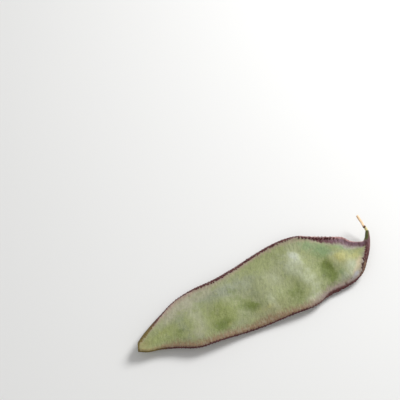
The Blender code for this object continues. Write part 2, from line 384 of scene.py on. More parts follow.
# Smooth steps: the inputs where each starts and ends, then its values there, which are 0 and 1 if not given
STEPS = {
    "margin noise": (0.3, 0.7, -1.0, 1.0),
    "lime": (0.38, 0.62, 0.0, 0.5),
    "patch edge": (0.3, 0.7, -0.25, 0.25),
    "olive mottle": (0.4, 0.7, 0.0, 0.22),
    "flush": (1.15, 0.1),
    "lilac strokes": (0.1, 0.7, 0.0, 0.35),
    "husk": (0.3, 0.9),
    "painted_sheen": (0.0, 1.0, 0.0, 0.9),
    "ragged rim": (0.0, 0.4, RAGGED, RAGGED / 3),
    "lining": (1.6, 1.15),
    "lining by dusk": (0.0, 1.0, 0.2, 0.5),
    "wine streaks": (0.45, 0.75, 0.0, 0.7),
    "lilac pores": (0.58, 0.7, 0.0, 0.3),
    "ink": (0.0, 0.3, 0.0, 0.8),
    "outer half": (0.8, 0.35),
    "inner half": (0.35, 0.6),
    "gaps": (0.15, 0.5),
    "gaps by blotches": (0.0, 0.35, 0.0, 0.85),
    "dusk streaks": (0.35, 0.6, 0.3, 0.95),
    "pink line": (0.65, 1.3, 0.85, 0.0),
    "pink streaks": (0.35, 0.6, 0.55, 1.0),
    "tan": (0.25, 0.75),
    "comb": (0.2, 0.5),
    "rim end": (0.0, 1.0, 1.2, 2.2),
    "full rim": (0.0, 1.0, 0.9, 0.4),
    "beak": (0.1, 0.9),
    "streak shade": (0.3, 0.72, 0.89, 1.10),
    "pore shade": (0.60, 0.70, 1.02, 0.86),
    "grain shade": (0.35, 0.7, 0.95, 1.06),
    "down": (0.55, 0.75, 0.0, 0.12),
    "roughness": (0.3, 0.7, 0.62, 0.5),
    "flecks": (0.4, 0.7, 0.0, 0.6),
    "wart tops": (0.3, 1.0),
    "wart stems": (0.3, 1.0),
    "knot start": (0.34, 0.39),
    "knot end": (0.47, 0.60),
    "pale end": (0.93, 1.0, 0.0, 0.4),
    "fibres": (0.45, 0.75, 0.0, 0.4),
}

SKIN_FINISH = {
    "Specular IOR Level": 0.3,
    "Sheen Weight": 0.16,
    "Sheen Roughness": 0.45,
    "Sheen Tint": (0.88, 0.92, 0.86, 1.0),
    "Subsurface Weight": 0.05,
    "Subsurface Radius": (0.0012, 0.0016, 0.0006),
    "Subsurface Scale": 1.0,
}
WART_FINISH = {"Roughness": 0.55, "Specular IOR Level": 0.35}
STYLE_FINISH = {"Roughness": 0.6, "Specular IOR Level": 0.3}

# The stage, in metres. Each lamp: name, place, size
FLOOR_REACH = 4.0
FLOOR_ROUGHNESS = 0.9
WHITE = (1.0, 1.0, 1.0, 1.0)
LAMPS = (("key_light", (0.42, 0.143, 0.40), 0.26), ("fill_light", (-0.35, -0.25, 0.40), 0.40))


def spline(points, share):
    """Catmull-Rom curve through the points, at share 0 to 1 by station number."""
    padded = np.vstack([2 * points[0] - points[1], points, 2 * points[-1] - points[-2]])
    place = share * (len(points) - 1)
    first = np.minimum(place.astype(int), len(points) - 2)
    t = (place - first)[:, None]
    a, b, c, d = (padded[first + k] for k in range(4))
    return 0.5 * (2 * b + (c - a) * t + (2 * a - 5 * b + 4 * c - d) * t**2 + (3 * b - a - 3 * c + d) * t**3)


class Edge:
    """A suture's outer edge in plan: a smooth curve with the run along it from the stem end."""

    def __init__(self, points):
        self.points = np.array(points)
        samples = spline(self.points, np.linspace(0, 1, EDGE_SAMPLES))
        steps = np.diff(samples, axis=0)
        self.run = np.concatenate([[0], np.cumsum(np.linalg.norm(steps, axis=1))])
        tangent = np.vstack([steps, steps[-1]])
        self.samples = samples
        self.tangent = tangent / np.linalg.norm(tangent, axis=1)[:, None]
        self.tree = kdtree.KDTree(EDGE_SAMPLES)
        for index, (x, y) in enumerate(samples):
            self.tree.insert((x, y, 0), index)
        self.tree.balance()

    def near(self, plan):
        """Distance of each plan point from the edge, and the run of the edge's nearest point."""
        index = np.array([self.tree.find((x, y, 0))[1] for x, y in plan])
        gap = plan - self.samples[index]
        along = np.sum(gap * self.tangent[index], axis=1)
        across = gap[:, 0] * self.tangent[index, 1] - gap[:, 1] * self.tangent[index, 0]
        beyond = np.where((index == 0) | (index == EDGE_SAMPLES - 1), along, 0)
        return np.hypot(across, beyond), self.run[index] + along

    def at(self, share):
        return spline(self.points, share)


LOWER = Edge([station[0] for station in STATIONS])
UPPER = Edge([station[1] for station in STATIONS])


def even_shares(count):
    """Station shares that space rings evenly along the two edges."""
    fine = np.linspace(0, 1, EDGE_SAMPLES)
    return np.interp(np.linspace(0, 1, count), (LOWER.run + UPPER.run) / (LOWER.run + UPPER.run)[-1], fine)


def round_cap(ratio):
    return np.sqrt(1 - (1 - np.clip(ratio, 0, 1)) ** 2)


def swelling(distance):
    return 1 - np.exp(-((np.maximum(distance - BAND_WIDTH, 0) / SWELL_REACH) ** SWELL_POWER))


def spots(plan, table):
    """Sum of soft oval spots: (x, y, half length, half width, turn in degrees, strength)."""
    total = np.zeros(len(plan))
    for x, y, long, wide, turn, strength in table:
        c, s = math.cos(math.radians(turn)), math.sin(math.radians(turn))
        along = (plan[:, 0] - x) * c + (plan[:, 1] - y) * s
        across = (plan[:, 1] - y) * c - (plan[:, 0] - x) * s
        total += strength * np.exp(-((along / long) ** 2) - (across / wide) ** 2)
    return total


def half_thickness(plan, lower, upper):
    half = BAND * round_cap(lower / SUTURE_WIDTH) * round_cap(upper / SUTURE_WIDTH)
    for distance, height in ((lower, SUTURE_LOWER), (upper, SUTURE_UPPER)):
        bead = np.exp(-(((distance - SUTURE_WIDTH) / SUTURE_FADE) ** 2))
        half += (height - BAND) * bead * round_cap(distance / SUTURE_WIDTH)
    inside = np.sqrt(swelling(lower) * swelling(upper))
    half += SWELL * inside
    for x, y, height in SEEDS:
        spread = ((plan[:, 0] - x) / SEED_LONG) ** 2 + ((plan[:, 1] - y) / SEED_WIDE) ** 2
        half += height * np.exp(-spread) * inside
    return half, inside


def middle_height(plan, lower, upper):
    along = (plan[:, 0] - ORIGIN[0]) / HALF_LENGTH
    across = plan[:, 1] / HALF_WIDTH
    height = BOW * along**2 + TWIST * along * across
    for distance, (pitch, phase) in ((upper, UPPER_WAVE), (lower, LOWER_WAVE)):
        wave = np.sin(2 * math.pi * plan[:, 0] / pitch + phase)
        height += RIPPLE * np.exp(-distance / RIPPLE_REACH) * wave
    return height


def seeded_noise(points, scale, seed):
    """Smooth noise from -1 to 1 at each point, for rows of three numbers."""
    shift = Vector([seed * step for step in NOISE_SHIFT])
    return np.array([noise.noise(Vector(point) * scale + shift) for point in points])


class Surface:
    """Points of the pod's skin for station shares and section angles, with what its colours need."""

    def __init__(self, shares, angle, settings, size=None, shift=None, at_tip=None):
        count = len(shares)
        size = np.ones(count) if size is None else size
        shift = np.zeros(count) if shift is None else shift
        at_tip = np.zeros(count, bool) if at_tip is None else at_tip
        low, high = LOWER.at(shares), UPPER.at(shares)
        centre, reach = (low + high) / 2, (high - low) / 2
        cosine = np.cos(angle)
        self.side = np.sign(np.round(np.sin(angle), 6))
        full = centre + reach * cosine[:, None]
        self.lower, lower_run = LOWER.near(full)
        self.upper, upper_run = UPPER.near(full)
        self.edge = np.minimum(self.lower, self.upper)
        self.run = np.where(self.lower < self.upper, lower_run, upper_run)
        self.by_upper = (self.upper < self.lower).astype(float)
        half, self.inside = half_thickness(full, self.lower, self.upper)
        half += self.fine_relief(full, settings) * round_cap(self.edge / SUTURE_WIDTH)
        height = middle_height(full, self.lower, self.upper)
        centre_height = middle_height(centre, LOWER.near(centre)[0], UPPER.near(centre)[0])
        plan = centre + reach * (cosine * size)[:, None]
        plan[:, 0] += np.where(at_tip, 0, shift)
        plan[:, 1] -= np.where(at_tip, shift, 0)
        z = centre_height + (height - centre_height) * size + self.side * half * size
        self.plan = plan
        self.points = np.column_stack([plan - ORIGIN, z])

    def fine_relief(self, full, settings):
        """Folds and dents of the upper valve, fine ridges square to the margin and a slight unevenness."""
        folds = spots(full, FOLDS) * self.inside * np.where(self.side > 0, 1.0, UNDER_FOLDS)
        layer = self.side + SUTURE_LAYER * self.by_upper
        strokes = np.column_stack([self.run / settings.ridge_pitch, self.edge / RIDGE_LENGTH, layer])
        fade = np.exp(-((self.edge / RIDGE_REACH) ** 2))
        ridges = settings.ridge_rise * seeded_noise(strokes, 1.0, RIDGE_SEED) * fade
        uneven = np.column_stack([full, self.side * FACE_LAYER])
        waves = sum(height * seeded_noise(uneven, scale, seed) for height, scale, seed in UNEVEN)
        return folds + ridges + waves * self.inside


def seat(z):
    """Heights with the seeds' undersides cut flat where the pod rests, as in the solid."""
    return np.maximum(z, 0)


def resting_shift():
    """How far the loft is raised so that its flat spots lie at height 0, sampled as the solid itself is."""
    shares, angles = np.meshgrid(even_shares(SOLID_RINGS), np.linspace(0, -math.pi, SOLID_ANGLES))
    shares, angles = shares.ravel(), angles.ravel()
    low, high = LOWER.at(shares), UPPER.at(shares)
    full = (low + high) / 2 + (high - low) / 2 * np.cos(angles)[:, None]
    lower, upper = LOWER.near(full)[0], UPPER.near(full)[0]
    return -(middle_height(full, lower, upper) - half_thickness(full, lower, upper)[0]).min() - FLAT_DEPTH


RAISE = resting_shift()


def sphere_loft(rings, around):
    """A bmesh sphere with each vertex's ring number and section angle. Its poles are closed."""
    bm = bmesh.new()
    bmesh.ops.create_uvsphere(bm, u_segments=around, v_segments=rings - 1, radius=1.0)
    place = np.array([vert.co for vert in bm.verts])
    ring = np.round((1 - np.arccos(np.clip(place[:, 2], -1, 1)) / math.pi) * (rings - 1)).astype(int)
    return bm, ring, np.arctan2(place[:, 1], place[:, 0])


def marked_bmesh(names):
    """An empty bmesh whose vertices each carry a number of every name."""
    bm = bmesh.new()
    for name in names:
        bm.verts.layers.float.new(name)
    return bm


def pour(batch, whole):
    """Adds a small bmesh to a large one and frees it. Making shapes straight in a large bmesh is slow."""
    mesh = bpy.data.meshes.new("batch")
    batch.to_mesh(mesh)
    batch.free()
    whole.from_mesh(mesh)
    bpy.data.meshes.remove(mesh)


def finish_piece(bm, name, points, attributes, material, nodes):
    """Moves the vertices to their points, in millimetres, and makes the piece that stands for the nodes."""
    if points is not None:
        for vert, point in zip(bm.verts, points):
            vert.co = Vector(point) * MM
    bmesh.ops.recalc_face_normals(bm, faces=bm.faces)
    mesh = bpy.data.meshes.new(name)
    bm.to_mesh(mesh)
    bm.free()
    mesh.shade_smooth()
    for label, values in attributes.items():
        layer = mesh.attributes.new(label, "FLOAT", "POINT")
        layer.data.foreach_set("value", np.asarray(values, np.float32))
    mesh.materials.append(material)
    piece = bpy.data.objects.new(name, mesh)
    bpy.context.scene.collection.objects.link(piece)
    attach(piece, "root")
    if nodes:
        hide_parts(*nodes)
    return piece


class Shader:
    """Short calls for the nodes of one material."""

    def __init__(self, name):
        self.material = bpy.data.materials.new(name)
        self.material.use_nodes = True
        self.tree = self.material.node_tree
        self.skin = self.tree.nodes["Principled BSDF"]
        self.object = self.tree.nodes.new("ShaderNodeTexCoord").outputs["Object"]

    def put(self, socket, value):
        if isinstance(value, bpy.types.NodeSocket):
            self.tree.links.new(value, socket)
        else:
            socket.default_value = value

    def dress(self, levels):
        """Gives the shader's inputs their values or sockets, by name."""
        for name, value in levels.items():
            self.put(self.skin.inputs[name], value)

    def attribute(self, name):
        node = self.tree.nodes.new("ShaderNodeAttribute")
        node.attribute_name = name
        return node.outputs["Fac"]

    def vector(self, x, y, z):
        node = self.tree.nodes.new("ShaderNodeCombineXYZ")
        for socket, value in zip(node.inputs, (x, y, z)):
            self.put(socket, value)
        return node.outputs[0]

    def slanted(self, turn, stretch):
        """Object coordinates in which a pattern is stretched along an axis turned from +Y, in degrees."""
        node = self.tree.nodes.new("ShaderNodeMapping")
        node.vector_type = "TEXTURE"
        node.inputs["Rotation"].default_value = (0, 0, math.radians(turn))
        node.inputs["Scale"].default_value = (1, stretch, 1)
        self.put(node.inputs["Vector"], self.object)
        return node.outputs[0]

    def noise(self, scale, detail, roughness, vector=None):
        """Noise from 0 to 1. The scale counts features in a metre of object space."""
        vector = self.object if vector is None else vector
        node = self.tree.nodes.new("ShaderNodeTexNoise")
        self.put(node.inputs["Vector"], vector)
        node.inputs["Scale"].default_value = scale
        node.inputs["Detail"].default_value = detail
        node.inputs["Roughness"].default_value = roughness
        return node.outputs["Fac"]

    def margin_noise(self, along, inward, detail, layer):
        """Noise from -1 to 1 that follows the margins, with its features in a millimetre along and inward."""
        run = self.math("MULTIPLY", self.attribute("run_mm"), along)
        depth = self.math("MULTIPLY", self.attribute("edge_mm"), inward)
        pattern = self.noise(1.0, detail, MARGIN_ROUGHNESS, self.vector(run, depth, layer))
        return self.step("margin noise", pattern)

    def step(self, name, value):
        """The smooth step of value that STEPS has under the name."""
        return self.fit(value, *STEPS[name])

    def fit(self, value, low, high, to_low=0.0, to_high=1.0):
        """A smooth step of value: to_low at low, to_high at high."""
        node = self.tree.nodes.new("ShaderNodeMapRange")
        node.interpolation_type = "SMOOTHSTEP"
        given = {"Value": value, "From Min": low, "From Max": high, "To Min": to_low, "To Max": to_high}
        for name, number in given.items():
            self.put(node.inputs[name], number)
        return node.outputs["Result"]

    def math(self, operation, a, b):
        node = self.tree.nodes.new("ShaderNodeMath")
        node.operation = operation
        self.put(node.inputs[0], a)
        self.put(node.inputs[1], b)
        return node.outputs[0]

    def mix(self, amount, a, b, blend="MIX"):
        node = self.tree.nodes.new("ShaderNodeMix")
        node.data_type = "RGBA"
        node.blend_type = blend
        self.put(node.inputs["Factor"], amount)
        colours = [socket for socket in node.inputs if socket.type == "RGBA"]
        for socket, value in zip(colours, (a, b)):
            self.put(socket, value if isinstance(value, bpy.types.NodeSocket) else (*value, 1.0))
        return next(socket for socket in node.outputs if socket.type == "RGBA")

    def bump(self, height, distance, strength, below=None):
        node = self.tree.nodes.new("ShaderNodeBump")
        node.inputs["Strength"].default_value = strength
        node.inputs["Distance"].default_value = distance
        self.put(node.inputs["Height"], height)
        if below is not None:
            self.put(node.inputs["Normal"], below)
        return node.outputs["Normal"]


def colour_setting(name, description, default):
    return FloatVectorProperty(name=name, description=description, subtype="COLOR", default=default)


class BeanPodSettings(bpy.types.PropertyGroup):
    """Sizes and colours of the pod."""

    ridge_rise: FloatProperty(
        name="Ridge rise",
        description="Height of the fine ridges square to the margin, in mm",
        default=0.05,
        min=0.0,
    )
    ridge_pitch: FloatProperty(
        name="Ridge pitch",
        description="Spacing of the fine ridges along the margin, in mm",
        default=0.42,
        min=0.1,
    )
    rings: IntProperty(name="Rings", description="Rings of the skin's mesh along the pod", default=600, min=100)
    around: IntProperty(name="Around", description="Points of the skin's mesh round the pod", default=128, min=16)
    wart_pitch: FloatProperty(
        name="Wart pitch", description="Spacing of the warts along a suture, in mm", default=1.3, min=0.3
    )
    wart_size: FloatProperty(name="Wart size", description="Half width of a wart, in mm", default=0.38, min=0.05)
    sage: colour_setting("Sage", "Main green of the valves", (0.284, 0.303, 0.163))
    lime: colour_setting("Lime", "Fresher green of the valves", (0.258, 0.293, 0.100))
    # Partly a deeper green, partly painted shade on the seed swellings' shaded sides
    olive_and_shade: colour_setting("Olive", "Deep green patches over the seeds", (0.115, 0.152, 0.022))
    bloom: colour_setting("Bloom", "Blue-grey bloom of the valves", (0.27, 0.292, 0.212))
    # Painted highlight: whitish spots of sheen on the pale bands
    painted_highlight: colour_setting("Frost", "Whitish spots of the pale bands", (0.55, 0.58, 0.50))
    teal: colour_setting("Teal", "Blue-green patches near the beak", (0.18, 0.27, 0.12))
    # Partly paler colour, partly painted light on the lit sides between the seeds
    pale: colour_setting("Pale", "Pale bands between the seeds", (0.47, 0.50, 0.34))
    # Partly a yellow colour, partly painted light on the last seed's lit side
    straw_and_light: colour_setting("Straw", "Yellow patches near the beak", (0.45, 0.42, 0.14))
    mist: colour_setting("Mist", "Pale grey-green near the margins", (0.385, 0.37, 0.265))
    lilac: colour_setting("Lilac", "Thin lining inside the dark sutures", (0.36, 0.28, 0.25))
    lining: colour_setting("Lining", "Whiter lining near the beak", (0.40, 0.36, 0.33))
    mauve: colour_setting("Mauve", "Flush beside the back suture", (0.222, 0.135, 0.075))
    haze: colour_setting("Haze", "Greyer flush towards the beak", (0.25, 0.182, 0.162))
    blush: colour_setting("Blush", "Pink flush of the seed-bearing suture", (0.33, 0.222, 0.182))
    husk: colour_setting("Husk", "Dry flush at the stem end", (0.33, 0.27, 0.115))
    purple: colour_setting("Purple", "Dark colour of the sutures", (0.066, 0.009, 0.010))
    ink: colour_setting("Ink", "Brown-black blotches of the back suture", (0.028, 0.004, 0.001))
    wine: colour_setting("Wine", "Redder marks in the sutures", (0.15, 0.030, 0.030))
    dusk: colour_setting("Dusk", "Blue-grey of the suture near the beak", (0.17, 0.095, 0.12))
    pink: colour_setting("Pink", "Pale line along the suture near the beak", (0.44, 0.235, 0.22))
    peach: colour_setting("Peach", "Pinkish cream by the back suture", (0.60, 0.465, 0.32))
    # Painted sheen: silvery patches near the beak
    painted_sheen: colour_setting("Silver", "Silvery patches near the beak", (0.39, 0.385, 0.40))
    # Painted highlight on the warts' tops, partly their own pale lilac
    wart: colour_setting("Wart tips", "Pale lilac of the warts' tops", (0.62, 0.44, 0.41))
    beak: colour_setting("Beak", "Dark green of the beak", (0.088, 0.098, 0.012))
    tan: colour_setting("Tan", "Sutures at the stem end", (0.145, 0.10, 0.02))
    scar: colour_setting("Scar", "Dry stem scar", (0.42, 0.31, 0.16))
    down: colour_setting("Down", "Fine pale specks of the skin", (0.68, 0.71, 0.58))
    cream: colour_setting("Cream", "Dried thread of the style", (0.86, 0.61, 0.38))
    style_base: colour_setting("Style base", "Pale yellow start of the style", (0.72, 0.63, 0.32))
    knot: colour_setting("Knot", "Brown knot and streaks of the style", (0.11, 0.04, 0.018))
    style_end: colour_setting("Style end", "Pale end of the style", (0.92, 0.80, 0.58))


class BeanStageSettings(bpy.types.PropertyGroup):
    """The camera, lights and floor."""

    azimuth: FloatProperty(
        name="Azimuth",
        description="Direction that the camera looks in",
        subtype="ANGLE",
        default=math.radians(-26.363),
    )
    elevation: FloatProperty(
        name="Elevation",
        description="Camera's angle above the floor",
        subtype="ANGLE",
        default=math.radians(60.0),
    )
    distance: FloatProperty(
        name="Distance", description="From the camera to its target", unit="LENGTH", default=0.42783
    )
    lens: FloatProperty(name="Lens", description="Focal length in mm", default=85.0)
    target: FloatVectorProperty(
        name="Target",
        description="Point the camera looks at",
        subtype="TRANSLATION",
        default=(-0.00277, 0.05303, 0.0),
    )
    key_power: FloatProperty(name="Key power", description="Main light, in watts", default=3.4, min=0.0)
    fill_power: FloatProperty(name="Fill power", description="Second light, in watts", default=0.4, min=0.0)
    sky: FloatProperty(name="Sky", description="Strength of the white surroundings", default=0.40, min=0.0)
    floor: colour_setting("Floor", "Colour of the floor", (0.80, 0.80, 0.79))


def valve_colour(sh, settings, mottle):
    """Mottled green with its pale, blue-grey, yellow and dark patches; the pale and yellow ones are partly
    painted light, the dark ones partly painted shade, and the whitish spots are painted highlights.
    """
    colour = sh.mix(sh.step("lime", sh.noise(*BROAD_NOISE)), settings.sage, settings.lime)
    edge = sh.step("patch edge", mottle)
    for name, most in PATCH_COVER:
        patch = sh.math("ADD", sh.attribute(name), edge)
        colour = sh.mix(sh.fit(patch, *PATCH_RANGE, 0.0, most), colour, getattr(settings, name))
    return sh.mix(sh.step("olive mottle", mottle), colour, settings.olive_and_shade)


def margin_colour(sh, settings, colour, streaks, pores):
    """Adds the flush beside the sutures, a painted silvery sheen near the beak and the sutures' dark rims, with a
    pink line, tan stem end and blotches.
    """
    rim, stem, by_upper = (sh.attribute(name) for name in ("rim", "stem", "by_upper"))
    dusky, blotchy, soft = (sh.attribute(name) for name in ("dusk", "blotchy", "soft"))
    strokes = sh.margin_noise(*STROKE_NOISE, by_upper)
    blotches = sh.margin_noise(*BLOTCH_NOISE, BLOTCH_LAYER)

    ragged = sh.math("ADD", sh.attribute("inward"), sh.math("MULTIPLY", strokes, FLUSH_RAGGED))
    flush = sh.math("ADD", sh.step("flush", ragged), sh.attribute("flush"))
    tint = sh.mix(sh.attribute("haze"), settings.mauve, settings.haze)
    tint = sh.mix(by_upper, tint, settings.blush)
    tint = sh.mix(sh.step("lilac strokes", strokes), tint, settings.lilac)
    tint = sh.mix(sh.step("husk", stem), tint, settings.husk)
    colour = sh.mix(sh.math("MINIMUM", flush, FLUSH_MOST), colour, tint)
    # Painted sheen: silvery patches laid over the flush
    colour = sh.mix(sh.step("painted_sheen", sh.attribute("painted_sheen")), colour, settings.painted_sheen)

    ragged_rim = sh.math("ADD", rim, sh.math("MULTIPLY", strokes, sh.step("ragged rim", soft)))
    ragged_rim = sh.math("ADD", ragged_rim, sh.math("MULTIPLY", blotches, blotchy))
    lining = sh.math("MULTIPLY", sh.step("lining", ragged_rim), sh.step("lining by dusk", dusky))
    colour = sh.mix(lining, colour, sh.mix(dusky, settings.lilac, settings.lining))
    suture = sh.mix(sh.step("wine streaks", streaks), settings.purple, settings.wine)
    suture = sh.mix(sh.step("lilac pores", pores), suture, settings.lilac)
    inky = sh.step("ink", blotchy)
    suture = sh.mix(inky, suture, settings.ink)
    suture = sh.mix(sh.math("MULTIPLY", sh.step("outer half", rim), inky), suture, settings.mauve)
    gaps = sh.math("MULTIPLY", sh.step("gaps", blotches), sh.step("gaps by blotches", blotchy))
    suture = sh.mix(sh.math("MULTIPLY", gaps, sh.step("inner half", rim)), suture, settings.lining)
    suture = sh.mix(sh.math("MULTIPLY", dusky, sh.step("dusk streaks", streaks)), suture, settings.dusk)
    pink_line = sh.math("MULTIPLY", dusky, sh.step("pink line", sh.attribute("line")))
    pink_line = sh.math("MULTIPLY", pink_line, sh.step("pink streaks", streaks))
    suture = sh.mix(pink_line, suture, settings.pink)
    suture = sh.mix(sh.step("tan", stem), suture, settings.tan)
    comb = sh.math("MULTIPLY", sh.attribute("comb"), sh.step("comb", strokes))
    colour = sh.mix(comb, colour, settings.purple)
    covered = sh.fit(ragged_rim, sh.step("rim end", soft), sh.step("full rim", soft))
    return sh.mix(covered, colour, suture)


def pod_material(settings):
    """Matte skin: mottled green valves with painted light, shade, highlights and sheen in their patches, mauve
    flush, purple sutures, green beak and tan stem end.
    """
    sh = Shader("pod_skin")
    mottle = sh.noise(*MOTTLE_NOISE)
    streaks = sh.noise(*STREAK_NOISE, sh.slanted(*STREAK_SLANT))
    pores = sh.noise(*PORE_NOISE, sh.slanted(*PORE_SLANT))
    grain = sh.noise(*GRAIN_NOISE)
    colour = margin_colour(sh, settings, valve_colour(sh, settings, mottle), streaks, pores)
    colour = sh.mix(sh.step("beak", sh.attribute("beak")), colour, settings.beak)
    colour = sh.mix(sh.attribute("scar"), colour, settings.scar)
    for name, pattern in (("streak shade", streaks), ("pore shade", pores), ("grain shade", grain)):
        colour = sh.mix(1.0, colour, sh.step(name, pattern), "MULTIPLY")
    colour = sh.mix(sh.step("down", grain), colour, settings.down)
    relief = sh.bump(streaks, *STREAK_BUMP, sh.bump(mottle, *MOTTLE_BUMP))
    relief = sh.bump(grain, *GRAIN_BUMP, relief)
    sh.dress(SKIN_FINISH)
    sh.dress({"Base Color": colour, "Roughness": sh.step("roughness", mottle), "Normal": relief})
    return sh.material


def wart_material(settings):
    """Rough dark purple with painted highlights of pale lilac on the tops, browner towards the stem."""
    sh = Shader("suture_warts")
    flecks = sh.noise(*FLECK_NOISE)
    colour = sh.mix(sh.step("flecks", flecks), settings.purple, settings.wine)
    colour = sh.mix(sh.step("wart tops", sh.attribute("lit_top")), colour, settings.wart)
    colour = sh.mix(sh.step("wart stems", sh.attribute("stem")), colour, settings.tan)
    sh.dress(WART_FINISH)
    sh.dress({"Base Color": colour, "Normal": sh.bump(flecks, *FLECK_BUMP)})
    return sh.material


def style_material(settings):
    """Papery cream thread: pale yellow at the beak, then a brown knot, streaked along its length."""
    sh = Shader("dried_style")
    along = sh.attribute("along")
    fibres = sh.noise(*FIBRE_NOISE, sh.slanted(*FIBRE_SLANT))
    colour = sh.mix(sh.step("knot start", along), settings.style_base, settings.knot)
    colour = sh.mix(sh.step("knot end", along), colour, settings.cream)
    colour = sh.mix(sh.step("pale end", along), colour, settings.style_end)
    colour = sh.mix(sh.step("fibres", fibres), colour, settings.knot)
    sh.dress(STYLE_FINISH)
    sh.dress({"Base Color": colour, "Normal": sh.bump(fibres, *FIBRE_BUMP)})
    return sh.material


def stem_share(plan):
    """1 at the stem end, fading to 0 along the pod."""
    return np.interp(plan[:, 0], STEM_FADE, (1.0, 0.0))


def read_table(table, plan):
    """Values at each plan point's X, from a table of plan X and value."""
    return np.interp(plan[:, 0], *np.transpose(table))


def by_suture(lower_table, upper_table, plan, by_upper):
    return np.where(by_upper > 0.5, read_table(upper_table, plan), read_table(lower_table, plan))


def rim_width(plan, by_upper):
    """Width of the dark suture colour at each plan point, in millimetres."""
    return by_suture(LOWER_RIM, UPPER_RIM, plan, by_upper)


def rim_share(surface):
    """Place across the dark rim, 0 at the edge and 1 where the dark ends. It closes round the stem end."""
    start = (LOWER.points[0], UPPER.points[0])
    along = start[1] - start[0]
    inward = np.array([along[1], -along[0]]) / np.linalg.norm(along)
    from_stem = (surface.plan - start[0]) @ inward
    rim = surface.edge / rim_width(surface.plan, surface.by_upper)
    return np.minimum(rim, np.maximum(from_stem, 0) / STEM_RIM)


def comb_share(surface):
    """Where the short dark strokes inside the back suture lie."""
    share = (1 - surface.by_upper) * read_table(COMB, surface.plan)
    return share * np.interp(surface.edge, COMB_DEPTH, (1.0, 0.0))


def beak_share(surface, shares):
    """1 or more on the green of the beak, which lies on its seed-bearing side and spreads over the tip."""
    near_upper = np.interp(surface.lower / (surface.lower + surface.upper), BEAK_ACROSS, (0.0, 1.0))
    return np.interp(shares, *BEAK_TIP) + near_upper * np.interp(shares, BEAK_SIDE, (0.0, 1.0))


def wart_places(settings, draw):
    """Station share, section angle, size and strength of the painted top highlight of each wart, row by row along
    the two sutures.
    """
    fine = np.linspace(0, 1, EDGE_SAMPLES)
    places = []
    for edge, by_upper, outer_light in ((UPPER, 1.0, UPPER_LIGHT), (LOWER, 0.0, LOWER_LIGHT)):
        for depth, sides, size in WART_ROWS:
            for side in sides:
                run = WART_START + draw.random()
                while run < edge.run[-1] - WART_STOP:
                    share = np.interp(run, edge.run, fine)
                    run += settings.wart_pitch * draw.uniform(*PITCH_SPREAD)
                    inward = max(depth + draw.uniform(*DEPTH_SPREAD), 0.0)
                    here = edge.at(np.array([share]))
                    width = rim_width(here, np.array([by_upper]))[0]
                    if inward > (width + WART_MARGIN if by_upper else read_table(LOWER_WARTS, here)[0]):
                        continue
                    light = 1.0 if inward > INNER_ROW * width else DARK_WART
                    if depth < OUTER_ROWS:
                        light = read_table(outer_light, here)[0]
                    across = UPPER.at(np.array([share])) - LOWER.at(np.array([share]))
                    tilt = math.acos(1 - 2 * inward / np.linalg.norm(across)) * (side or draw.choice((1, -1)))
                    angle = tilt if by_upper else math.pi - tilt
                    places.append((share, angle, size * draw.uniform(*SIZE_SPREAD), light))
    return np.transpose(places)


class BEANPOD_OT_skin(bpy.types.Operator):
    """Make the pod's skin: a fine closed loft with folds, ridges and the marks for its colours"""

    bl_idname = "beanpod.skin"
    bl_label = "Pod skin"

    def execute(self, context):
        settings = context.scene.bean_pod
        first, along = len(SCAR_RINGS), settings.rings
        rings = first + along + len(TIP_RINGS)
        bm, ring, angle = sphere_loft(rings, settings.around)
        size, shift = np.ones(len(ring)), np.zeros(len(ring))
        for k, (share, depth) in enumerate(SCAR_RINGS):
            size[ring == k], shift[ring == k] = share, depth
        for k, (share, depth) in enumerate(TIP_RINGS):
            size[ring == first + along + k], shift[ring == first + along + k] = share, depth
        shares = even_shares(along)[np.clip(ring - first, 0, along - 1)]
        surface = Surface(shares, angle, settings, size, shift, ring >= first + along)
        points = surface.points
        points[:, 2] = seat(points[:, 2] + RAISE)
        marks = {
            "edge_mm": surface.edge,
            "run_mm": surface.run,
            "by_upper": surface.by_upper,
            "rim": rim_share(surface),
            "blotchy": (1 - surface.by_upper) * read_table(BLOTCHES, surface.plan),
            "soft": by_suture(LOWER_SOFT, UPPER_SOFT, surface.plan, surface.by_upper),
            "line": surface.edge / read_table(PINK_LINE, surface.plan),
            "comb": comb_share(surface),
            "inward": surface.edge / by_suture(LOWER_FLUSH, UPPER_FLUSH, surface.plan, surface.by_upper),
            "stem": stem_share(surface.plan),
            "haze": np.interp(surface.plan[:, 0], HAZE_START, (0.0, 1.0)),
            "dusk": by_suture(LOWER_DUSK, UPPER_DUSK, surface.plan, surface.by_upper),
            "beak": beak_share(surface, shares),
            "scar": np.where(ring < first, np.interp(size, SCAR_RIM, (1.0, 0.0)), 0.0),
        }
        # Marks of the valves' patches, among them painted light, shade, highlights and sheen
        for name, table in PATCHES.items():
            marks[name] = spots(surface.plan, table) * np.where(surface.side > 0, 1.0, UNDER_PATCHES)
        finish_piece(bm, "pod_skin", points, marks, pod_material(settings), ["pod"])
        return {"FINISHED"}


